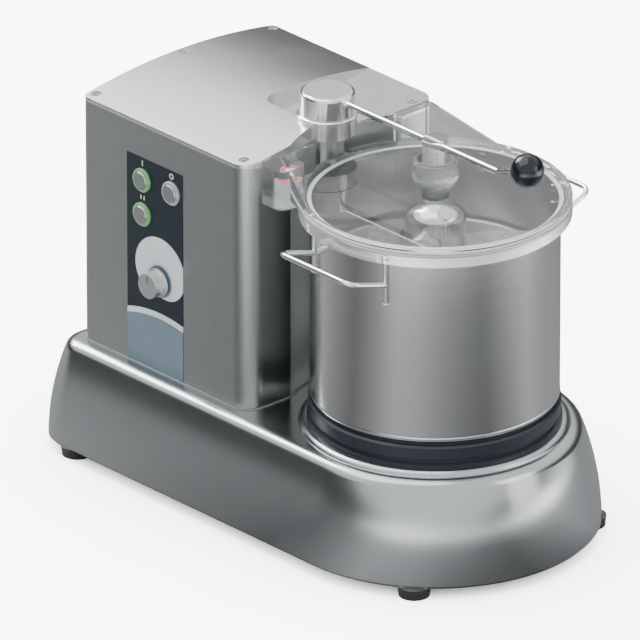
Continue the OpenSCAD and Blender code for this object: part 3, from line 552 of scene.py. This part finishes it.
class FINISH_OT_controls(bpy.types.Operator):
    """Button rings, button caps and the speed knob"""

    bl_idname = "bowlcutter.finish_controls"
    bl_label = "Finish the controls"

    def execute(self, context):
        green = finish("green ring", (0.13, 0.36, 0.14), "moulded", fineness=1800.0, contrast=0.14, rough=0.34,
                       metal=0.0, coat=0.3, marks=0.2)
        grey = finish("grey ring", (0.40, 0.40, 0.43), "moulded", fineness=1800.0, contrast=0.14, rough=0.36,
                      metal=0.35, marks=0.2)
        give(green, "start_bezel", "pulse_bezel")
        give(grey, "stop_bezel")
        for name in ("start_button", "pulse_button", "stop_button"):
            cap = finish(name.replace("_", " ") + " steel", (0.48, 0.48, 0.50), "turned", fineness=1600.0,
                         contrast=0.16, rough=0.34, centre=middle(name), turn=(math.pi / 2, 0, 0), marks=0.2)
            give(cap, name)
        knob = finish("turned knob", (0.72, 0.72, 0.74), "turned", fineness=1500.0, contrast=0.14, rough=0.28,
                      centre=middle("speed_knob"), turn=(math.pi / 2, 0, 0), marks=0.15, round_edge=0.0005)
        give(knob, "speed_knob")
        pot = finish("pot body", (0.10, 0.13, 0.15), "moulded", fineness=1500.0, contrast=0.2, rough=0.4, metal=0.6)
        give(pot, "speed_potentiometer")
        board = finish("circuit board", (0.016, 0.11, 0.045), "moulded", fineness=1500.0, contrast=0.3, rough=0.35,
                       metal=0.0, coat=0.4, dust=0.2)
        chips = finish("board parts", (0.035, 0.036, 0.042), "moulded", fineness=2500.0, contrast=0.3, rough=0.5,
                       metal=0.0, dust=0.2)
        give(board, "control_board")
        give(chips, "board_parts")
        return {"FINISHED"}


class FINISH_OT_bowl(bpy.types.Operator):
    """Spun steel bowl, its handles and the black ring that it sits on"""

    bl_idname = "bowlcutter.finish_bowl"
    bl_label = "Finish the bowl"

    def paint_inside_shade(self, material):
        """Painted shade: inside a radius from its axis the bowl's colour is darkened, so that its inside looks shaded
        and a little darker than the polished outside.
        """
        tree = material.node_tree
        shader = tree.nodes["Principled BSDF"]
        place = add_node(tree, "ShaderNodeTexCoord").outputs["Object"]
        x, y, _ = parts(tree, moved(material, place, BOWL_AXIS))
        inside = border(tree, distance(tree, x, y), BOWL_INSIDE, 1.0, 0.0, INSIDE_SHADE_BORDER)
        darker = add_node(tree, "ShaderNodeVectorMath", {
            0: shader.inputs["Base Color"].links[0].from_socket,
            "Scale": maths(tree, "MULTIPLY_ADD", inside, -INSIDE_SHADE_DARKENING, 1.0)}, operation="SCALE")
        tree.links.new(darker.outputs[0], shader.inputs["Base Color"])

    def execute(self, context):
        colours = context.scene.bowlcutter_finish
        spun = finish("spun bowl steel", colours.bowl, "turned", fineness=900.0, contrast=0.10, rough=0.17, bump=0.012,
                      centre=BOWL_AXIS, marks=0.16)
        wire = finish("polished wire", colours.chrome, "moulded", fineness=1200.0, contrast=0.05, rough=0.10,
                      bump=0.004, marks=0.12, round_edge=0.0)
        seal = finish("seal ring rubber", (0.016, 0.021, 0.030), "turned", fineness=500.0, contrast=0.25, rough=0.33,
                      metal=0.0, bump=0.03, centre=BOWL_AXIS, dust=0.06, coat=0.1, specular=0.35)
        gasket = finish("clear gasket", (0.70, 0.71, 0.71), "moulded", fineness=1500.0, contrast=0.1, rough=0.4,
                        metal=0.0)
        # painted shade: darkens the colour inside the bowl
        self.paint_inside_shade(spun)
        give(spun, "bowl")
        give(wire, "front_handle", "rear_handle")
        give(seal, "bowl_seat_ring")
        give(gasket, "lid_gasket")
        return {"FINISHED"}


class FINISH_OT_lid(bpy.types.Operator):
    """Clear lid, its skirt and hub, and the red magnet"""

    bl_idname = "bowlcutter.finish_lid"
    bl_label = "Finish the lid"

    def clear(self, name, tint, rough, clearness):
        """Clear plastic that is whole for the camera and faded for shadows and mirrors."""
        material, shader, place = new_material(name)
        tree = material.node_tree
        path = add_node(tree, "ShaderNodeLightPath").outputs
        either = maths(tree, "MAXIMUM", path["Is Shadow Ray"], path["Is Diffuse Ray"])
        either = maths(tree, "MAXIMUM", either, path["Is Glossy Ray"])
        smears = place_group(material, "wiping marks", place, Amount=CLEAR_SMEARS)["Mask"]
        feed(tree, shader.inputs, {
            "Base Color": blend_colours(tree, smears, tint, [0.93 * c for c in tint]),
            "Roughness": maths(tree, "MULTIPLY_ADD", smears, 0.10, rough),
            "Alpha": maths(tree, "MULTIPLY_ADD", either, -CLEAR_FADE, 1.0),
            "Transmission Weight": clearness, "Metallic": 0.0, "IOR": 1.45})
        return material

    def magnet(self):
        """Red cap with a pale core, in a steel wall."""
        material, shader, place = new_material("magnet cap")
        tree = material.node_tree
        x, y, _ = parts(tree, moved(material, place, middle("lid_magnet")))
        reach = distance(tree, x, y)
        core = border(tree, reach, MAGNET_CORE, 1.0, 0.0)
        paint = blend_colours(tree, core, (0.62, 0.018, 0.040), (0.78, 0.76, 0.75))
        paint = blend_colours(tree, border(tree, reach, MAGNET_WALL, 0.0, 1.0), paint, (0.46, 0.48, 0.49))
        grain = place_group(material, "moulded grain", place, Fineness=2200.0, Contrast=0.16)
        shaded = add_node(tree, "ShaderNodeHueSaturation", {"Color": paint, "Value": grain["Shade"]})
        feed(tree, shader.inputs, {
            "Base Color": shaded.outputs[0], "Roughness": maths(tree, "ADD", grain["Polish"], 0.32)})
        return material

    def execute(self, context):
        give(self.clear("clear lid plastic", (0.93, 0.95, 0.955), 0.02, 0.97), "lid")
        give(self.clear("clouded skirt plastic", (0.93, 0.95, 0.955), 0.18, 0.86), "lid_skirt")
        give(self.clear("clear hub plastic", (0.92, 0.94, 0.95), 0.03, 0.92), "lid_hub")
        give(self.magnet(), "lid_magnet")
        return {"FINISHED"}


class FINISH_OT_lever(bpy.types.Operator):
    """Polished lever with its black ball"""

    bl_idname = "bowlcutter.finish_lever"
    bl_label = "Finish the lever"

    def execute(self, context):
        colours = context.scene.bowlcutter_finish
        cap = finish("turned chrome", colours.chrome, "turned", fineness=1100.0, contrast=0.05, rough=0.13, bump=0.004,
                     centre=LEVER_AXIS, marks=0.14, round_edge=0.0006)
        rod = finish("polished rod", colours.chrome, "moulded", fineness=1500.0, contrast=0.05, rough=0.10, bump=0.003,
                     marks=0.12, round_edge=0.0)
        ball = finish("black ball", (0.006, 0.009, 0.015), "moulded", fineness=900.0, contrast=0.2, rough=0.16,
                      metal=0.0, bump=0.004, marks=0.2, coat=0.35, specular=0.3, round_edge=0.0)
        bronze = finish("bush bronze", (0.42, 0.27, 0.09), "turned", fineness=1200.0, contrast=0.2, rough=0.35,
                        centre=LEVER_AXIS)
        shaft = finish("ground steel", (0.50, 0.51, 0.52), "moulded", fineness=1600.0, contrast=0.12, rough=0.25)
        give(cap, "lever_cap", "lever_base_ring")
        give(rod, "lever_rod")
        give(ball, "lever_ball")
        give(bronze, "lever_bush")
        give(shaft, "lever_shaft", "lever_cam", "spindle_shaft", "motor_shaft", "motor_rotor")
        return {"FINISHED"}


class FINISH_OT_drive(bpy.types.Operator):
    """Blades, their hub and cap, spindle, belt drive and motor"""

    bl_idname = "bowlcutter.finish_drive"
    bl_label = "Finish the drive"

    def execute(self, context):
        colours = context.scene.bowlcutter_finish
        blades = finish("ground blade steel", (0.56, 0.57, 0.58), "brushed", fineness=900.0, contrast=0.2, rough=0.24,
                        turn=(math.pi / 2, 0, 0), marks=0.3, round_edge=0.0002)
        sleeve = finish("turned sleeve", (0.55, 0.56, 0.57), "turned", fineness=1200.0, contrast=0.12, rough=0.22,
                        centre=BOWL_AXIS)
        dome = finish("chrome dome", colours.chrome, "turned", fineness=1200.0, contrast=0.05, rough=0.08, bump=0.003,
                      centre=BOWL_AXIS, marks=0.1)
        cast = finish("machined housing", (0.34, 0.35, 0.36), "turned", fineness=800.0, contrast=0.2, rough=0.4,
                      centre=BOWL_AXIS)
        bearing = finish("bearing steel", (0.60, 0.61, 0.62), "turned", fineness=1600.0, contrast=0.1, rough=0.2,
                         centre=BOWL_AXIS)
        iron = finish("pulley iron", (0.22, 0.225, 0.23), "moulded", fineness=1500.0, contrast=0.25, rough=0.45)
        belt = finish("belt rubber", (0.016, 0.016, 0.017), "brushed", fineness=700.0, contrast=0.5, rough=0.75,
                      metal=0.0, bump=0.1)
        paint = finish("motor paint", (0.055, 0.085, 0.115), "moulded", fineness=900.0, contrast=0.2, rough=0.42,
                       metal=0.0, bump=0.08, dust=0.25, coat=0.2)
        copper = finish("copper winding", (0.48, 0.17, 0.06), "brushed", fineness=1600.0, contrast=0.6, rough=0.38,
                        bump=0.2)
        give(blades, "upper_blade", "lower_blade")
        give(sleeve, "blade_hub")
        give(dome, "blade_cap")
        give(cast, "spindle_housing")
        give(bearing, "upper_bearing", "lower_bearing")
        give(iron, "spindle_pulley", "motor_pulley")
        give(belt, "drive_belt")
        give(paint, "motor_case", "motor_flange")
        give(copper, "motor_stator")
        return {"FINISHED"}


# Trim pieces.


class TRIM_OT_foot_bead(bpy.types.Operator):
    """Grey sealing bead where the housing stands on the casting"""

    bl_idname = "bowlcutter.foot_bead"
    bl_label = "Lay the sealing bead"

    def execute(self, context):
        radius = context.scene.bowlcutter_trim.bead_radius
        low, high = HOUSING_LOW, HOUSING_HIGH
        middle_x = (low[0] + high[0]) / 2
        # the housing's corners near the bowl and far from it, and its hollow front
        near_corner, far_corner, recess = 0.020, 0.005, 0.147
        begin()
        bpy.ops.mesh.primitive_cylinder_add(
            vertices=128, radius=recess, depth=0.1, location=(BOWL_AXIS[0], BOWL_AXIS[1], DECK_Z))
        cutter = bpy.context.object
        add_block((middle_x, 0, DECK_Z + radius / 2), (high[0] - low[0], high[1] - low[1], radius))
        bead = bpy.context.object

        def upright(e):
            return abs(e.verts[0].co.z - e.verts[1].co.z) > radius / 2

        pick("edges", lambda e: upright(e) and e.verts[0].co.x > middle_x)
        bpy.ops.mesh.bevel(offset=near_corner, segments=12)
        pick("edges", lambda e: upright(e) and e.verts[0].co.x < low[0] + 0.001)
        bpy.ops.mesh.bevel(offset=far_corner, segments=6)
        apply_modifier(bead, "BOOLEAN", object=cutter, operation="DIFFERENCE")
        bpy.data.objects.remove(cutter, do_unlink=True)
        edit()
        pick("faces", lambda f: abs(f.normal.z) > 0.9)
        bpy.ops.mesh.delete(type="FACE")
        apply_modifier(bead, "SOLIDIFY", thickness=radius, offset=1.0)
        edit()
        top = DECK_Z + radius
        pick("edges", lambda e: all(v.co.z > top - 1e-5 for v in e.verts) and len(e.link_faces) == 2
             and abs(e.link_faces[0].normal.z - e.link_faces[1].normal.z) > 0.5)
        bpy.ops.mesh.bevel(offset=radius * 0.45, segments=3)
        grey = finish("sealing bead", (0.26, 0.27, 0.28), "moulded", fineness=900.0, contrast=0.15, rough=0.42,
                      metal=0.0, round_edge=0.0)
        piece = close("housing_foot_bead", grey, "machine")
        return {"FINISHED"}


class TRIM_OT_handle_welds(bpy.types.Operator):
    """Rippled weld beads at both ends of every handle pad"""

    bl_idname = "bowlcutter.handle_welds"
    bl_label = "Weld the handles"

    def execute(self, context):
        steel = finish("weld steel", (0.60, 0.60, 0.59), "moulded", fineness=2400.0, contrast=0.3, rough=0.22,
                       bump=0.08, round_edge=0.0)
        # radius of the bowl's wall where the welds lie, and of the ring that one weld makes
        wall, ring = 0.1205, 0.0030
        # how far the welds lie in from the pad's ends, over its low edge and under its high edge
        inset, over_low, under_high = 0.003, 0.0005, 0.0035
        begin()
        bpy.ops.mesh.primitive_torus_add(
            major_segments=24, minor_segments=10, major_radius=ring,
            minor_radius=context.scene.bowlcutter_trim.weld_radius)
        pattern = bpy.context.object
        edit()
        # every other ring of points is swollen and flattened into a ripple
        pick("verts", lambda v: round(math.atan2(v.co.y, v.co.x) / (math.pi / 12)) % 2 == 0)
        bpy.ops.transform.resize(value=(1.07, 1.07, 0.86))
        for side, node in ((-1, "front_handle"), (1, "rear_handle")):
            low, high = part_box(node)
            for end, across in (("left", low[0] + inset), ("right", high[0] - inset)):
                depth = side * math.sqrt(wall ** 2 - (across - BOWL_AXIS[0]) ** 2)
                for height, level in (("low", low[2] + over_low), ("high", high[2] - under_high)):
                    begin()
                    weld = pattern.copy()
                    weld.data = pattern.data.copy()
                    weld.location = (across, depth, level)
                    context.collection.objects.link(weld)
                    context.view_layer.objects.active = weld
                    close("weld_%s_%s_%s" % (node.split("_")[0], end, height), steel, "machine", smooth=60)
        bpy.data.objects.remove(pattern, do_unlink=True)
        return {"FINISHED"}


def print_bar(name, place, size, corner, chamfer, ink, body):
    """A thin bar with round corners on a face that looks to the front, its own front edge softened."""
    add_block(place, size)
    pick("edges", lambda e: abs(e.verts[0].co.y - e.verts[1].co.y) > size[1] / 2)
    bpy.ops.mesh.bevel(offset=corner, segments=4)
    pick("faces", lambda f: f.normal.y < -0.9)
    bpy.ops.mesh.inset(thickness=chamfer)
    return close(name, ink, body)


class TRIM_OT_label_marks(bpy.types.Operator):
    """Generic on, pulse and off marks above the buttons"""

    bl_idname = "bowlcutter.label_marks"
    bl_label = "Print the marks"

    def execute(self, context):
        thick = context.scene.bowlcutter_trim.print_height
        ink = finish("white print", (0.62, 0.64, 0.66), "moulded", fineness=2600.0, contrast=0.12, rough=0.4,
                     metal=0.0, round_edge=0.0)
        start, pulse, stop = (middle(n) for n in ("start_button", "pulse_button", "stop_button"))
        # heights of the strokes, and how far the two of the pulse mark stand from its middle
        single, double, apart = 0.0058, 0.0046, 0.0022
        for name, x, z, height in (
                ("mark_on", start[0], start[2], single), ("mark_pulse_left", pulse[0] - apart, pulse[2], double),
                ("mark_pulse_right", pulse[0] + apart, pulse[2], double)):
            piece = print_bar(name, (x, LABEL_FACE - thick / 2, z + CAPTION_LIFT), (STROKE_WIDTH, thick, height),
                              STROKE_WIDTH * 0.4, thick * 0.6, ink, "machine")
        begin()
        bpy.ops.mesh.primitive_circle_add(
            vertices=48, radius=RING_RADIUS, fill_type="NGON", rotation=(math.pi / 2, 0, 0),
            location=(stop[0], LABEL_FACE - thick, stop[2] + CAPTION_LIFT))
        edit()
        pick("faces", lambda f: True)
        bpy.ops.mesh.inset(thickness=RING_WIDTH)
        bpy.ops.mesh.delete(type="FACE")
        pick("faces", lambda f: True)
        bpy.ops.mesh.extrude_region_move(TRANSFORM_OT_translate={"value": (0, thick, 0)})
        bpy.ops.mesh.select_all(action="SELECT")
        bpy.ops.mesh.normals_make_consistent(inside=False)
        piece = close("mark_off", ink, "machine")
        return {"FINISHED"}


class TRIM_OT_knob_line(bpy.types.Operator):
    """Dark pointer line let into the face of the speed knob"""

    bl_idname = "bowlcutter.knob_line"
    bl_label = "Mark the knob"

    def execute(self, context):
        thick = context.scene.bowlcutter_trim.print_height
        width, length, corner = 0.0012, 0.0070, 0.0005
        # height of its middle over the knob's
        lift = 0.0068
        ink = finish("dark inlay", (0.03, 0.035, 0.045), "moulded", fineness=2400.0, contrast=0.2, rough=0.4,
                     metal=0.0, round_edge=0.0)
        piece = print_bar("knob_line", (KNOB_X, KNOB_FACE - thick / 2, KNOB_Z + lift), (width, thick, length),
                          corner, thick, ink, "knob")
        return {"FINISHED"}


# Studio.


class STUDIO_OT_stage(bpy.types.Operator):
    """Pale floor, soft lights and the camera at the photograph's angle"""

    bl_idname = "bowlcutter.stage"
    bl_label = "Set up the studio"

    def floor(self, settings):
        """The sheet glows only towards the camera, dimmed near the machine as a painted shadow, and metal mirrors it
        in fields by compass angle, a painted reflection.
        """
        begin()
        bpy.ops.mesh.primitive_plane_add(size=settings.floor_size, location=(0, 0, 0))
        sheet = bpy.context.object
        sheet.name = "studio_floor"
        material, shader, place = new_material("pale floor")
        tree = material.node_tree
        path = add_node(tree, "ShaderNodeLightPath").outputs
        local = moved(material, place, BOWL_AXIS)
        x, y, _ = parts(tree, local)
        turn = maths(tree, "ARCTAN2", y, x)
        # painted reflection: brightness fields by compass angle, shown only to mirror rays
        fields = grey_ramp(
            tree, turn_share(tree, turn), [((degrees + 180.0) / 360.0, level) for degrees, level in FLOOR_FIELDS])
        reach = add_node(tree, "ShaderNodeVectorMath", {0: local}, operation="LENGTH").outputs["Value"]
        far = maths(tree, "MULTIPLY", maths(tree, "SUBTRACT", reach, FAR_START), FAR_RISE, clamp=True)
        side = maths(tree, "COSINE", maths(tree, "ADD", turn, FAR_TURN))
        side = maths(tree, "MULTIPLY", side, FAR_SPREAD, clamp=True)
        gain = maths(tree, "MULTIPLY_ADD", maths(tree, "MULTIPLY", far, side), FAR_GAIN, 1.0)
        mirrored = add_node(tree, "ShaderNodeVectorMath", {0: fields, "Scale": gain}, operation="SCALE").outputs[0]
        # painted shadow: the glow towards the camera is dimmed by ambient occlusion near the machine
        nearby = add_node(tree, "ShaderNodeAmbientOcclusion", {"Distance": SHADOW_REACH}, samples=8)
        glow = maths(tree, "MULTIPLY", path["Is Camera Ray"], settings.floor_glow)
        feed(tree, shader.inputs, {
            "Base Color": blend_colours(tree, path["Is Glossy Ray"], tuple(settings.floor_colour), mirrored),
            "Emission Color": (1.0, 1.0, 1.0, 1.0),
            "Emission Strength": maths(tree, "MULTIPLY", glow, nearby.outputs["AO"]),
            "Roughness": 0.9, "Specular IOR Level": 0.0})
        sheet.data.materials.append(material)

    def lamp(self, name, place, aim, power, width, height):
        """A soft lamp at a place, turned towards the aim."""
        begin()
        bpy.ops.object.light_add(type="AREA", location=place)
        light = bpy.context.object
        light.name = name
        light.data.shape = "RECTANGLE"
        light.data.size, light.data.size_y = width, height
        light.data.energy = power
        light.rotation_euler = (Vector(aim) - Vector(place)).to_track_quat("-Z", "Y").to_euler()

    def room(self, world, strength):
        """Light from all round, dim near the horizon and bright overhead, and brighter on one side."""
        world.use_nodes = True
        tree = world.node_tree
        x, y, z = parts(tree, add_node(tree, "ShaderNodeTexCoord").outputs["Generated"])
        front = maths(tree, "MULTIPLY_ADD", y, ROOM_FRONT[1], maths(tree, "MULTIPLY", x, ROOM_FRONT[0]))
        height = maths(tree, "MULTIPLY_ADD", maths(tree, "MAXIMUM", front, 0.0), ROOM_LIFT, z)
        feed(tree, tree.nodes["Background"].inputs, {
            "Strength": strength, "Color": grey_ramp(tree, height, ROOM_LIGHT)})

    def camera(self, settings):
        """The camera, far away and at the photograph's angle."""
        begin()
        away = Vector(settings.view_from).normalized()
        bpy.ops.object.camera_add(location=Vector(settings.view_point) + away * settings.camera_distance)
        camera = bpy.context.object
        camera.name = "photo_camera"
        camera.rotation_euler = away.to_track_quat("Z", "Y").to_euler()
        camera.data.sensor_width = SENSOR_WIDTH
        camera.data.lens = settings.pixels_per_metre * settings.camera_distance * SENSOR_WIDTH / PHOTO_WIDTH
        camera.data.clip_end = 200.0
        return camera

    def execute(self, context):
        settings = context.scene.bowlcutter_studio
        self.floor(settings)
        aim = (0.0, 0.0, 0.15)
        self.lamp("overhead_softbox", (-0.5, -0.6, 2.6), aim, settings.key_power, 2.4, 2.4)
        self.lamp("left_softbox", (-2.3, -0.1, 2.2), aim, settings.edge_power, 1.5, 1.5)
        self.lamp("back_softbox", (-1.6, 1.4, 2.4), aim, settings.rim_power, 1.6, 1.6)
        self.lamp("side_softbox", (2.2, 0.9, 0.9), aim, settings.side_power, 1.0, 1.6)
        context.scene.world = bpy.data.worlds.new("studio room")
        self.room(context.scene.world, settings.sky_strength)
        context.scene.camera = self.camera(settings)
        return {"FINISHED"}


STEPS = (
    STUDIO_OT_stage, FINISH_OT_casting, FINISH_OT_housing, FINISH_OT_label, FINISH_OT_controls, FINISH_OT_bowl,
    FINISH_OT_lid, FINISH_OT_lever, FINISH_OT_drive, TRIM_OT_foot_bead, TRIM_OT_handle_welds, TRIM_OT_label_marks,
    TRIM_OT_knob_line)
SETTINGS = (
    ("bowlcutter_studio", StudioSettings), ("bowlcutter_finish", FinishSettings), ("bowlcutter_trim", TrimSettings))


class VIEW3D_PT_bowl_cutter(bpy.types.Panel):
    """Sizes, colours and steps of the bowl cutter's looks"""

    bl_label = "Bowl cutter"
    bl_space_type = "VIEW_3D"
    bl_region_type = "UI"
    bl_category = "Bowl cutter"

    def draw(self, context):
        layout = self.layout
        for name, kind in SETTINGS:
            box = layout.box()
            for field in kind.__annotations__:
                box.prop(getattr(context.scene, name), field)
        for step in STEPS:
            layout.operator(step.bl_idname)


def register():
    for name, kind in SETTINGS:
        bpy.utils.register_class(kind)
        setattr(bpy.types.Scene, name, bpy.props.PointerProperty(type=kind))
    for kind in (*STEPS, VIEW3D_PT_bowl_cutter):
        bpy.utils.register_class(kind)


def unregister():
    for kind in (VIEW3D_PT_bowl_cutter, *reversed(STEPS)):
        bpy.utils.unregister_class(kind)
    for name, kind in reversed(SETTINGS):
        delattr(bpy.types.Scene, name)
        bpy.utils.unregister_class(kind)


def main():
    register()
    for step in STEPS:
        group, verb = step.bl_idname.split(".")
        if getattr(getattr(bpy.ops, group), verb)() != {"FINISHED"}:
            raise RuntimeError(step.bl_label + " didn't finish")
    begin()
    trees = [material.node_tree for material in bpy.data.materials if material.use_nodes]
    for tree in (*trees, *bpy.data.node_groups, bpy.context.scene.world.node_tree):
        arrange(tree)


if __name__ == "__main__":
    main()
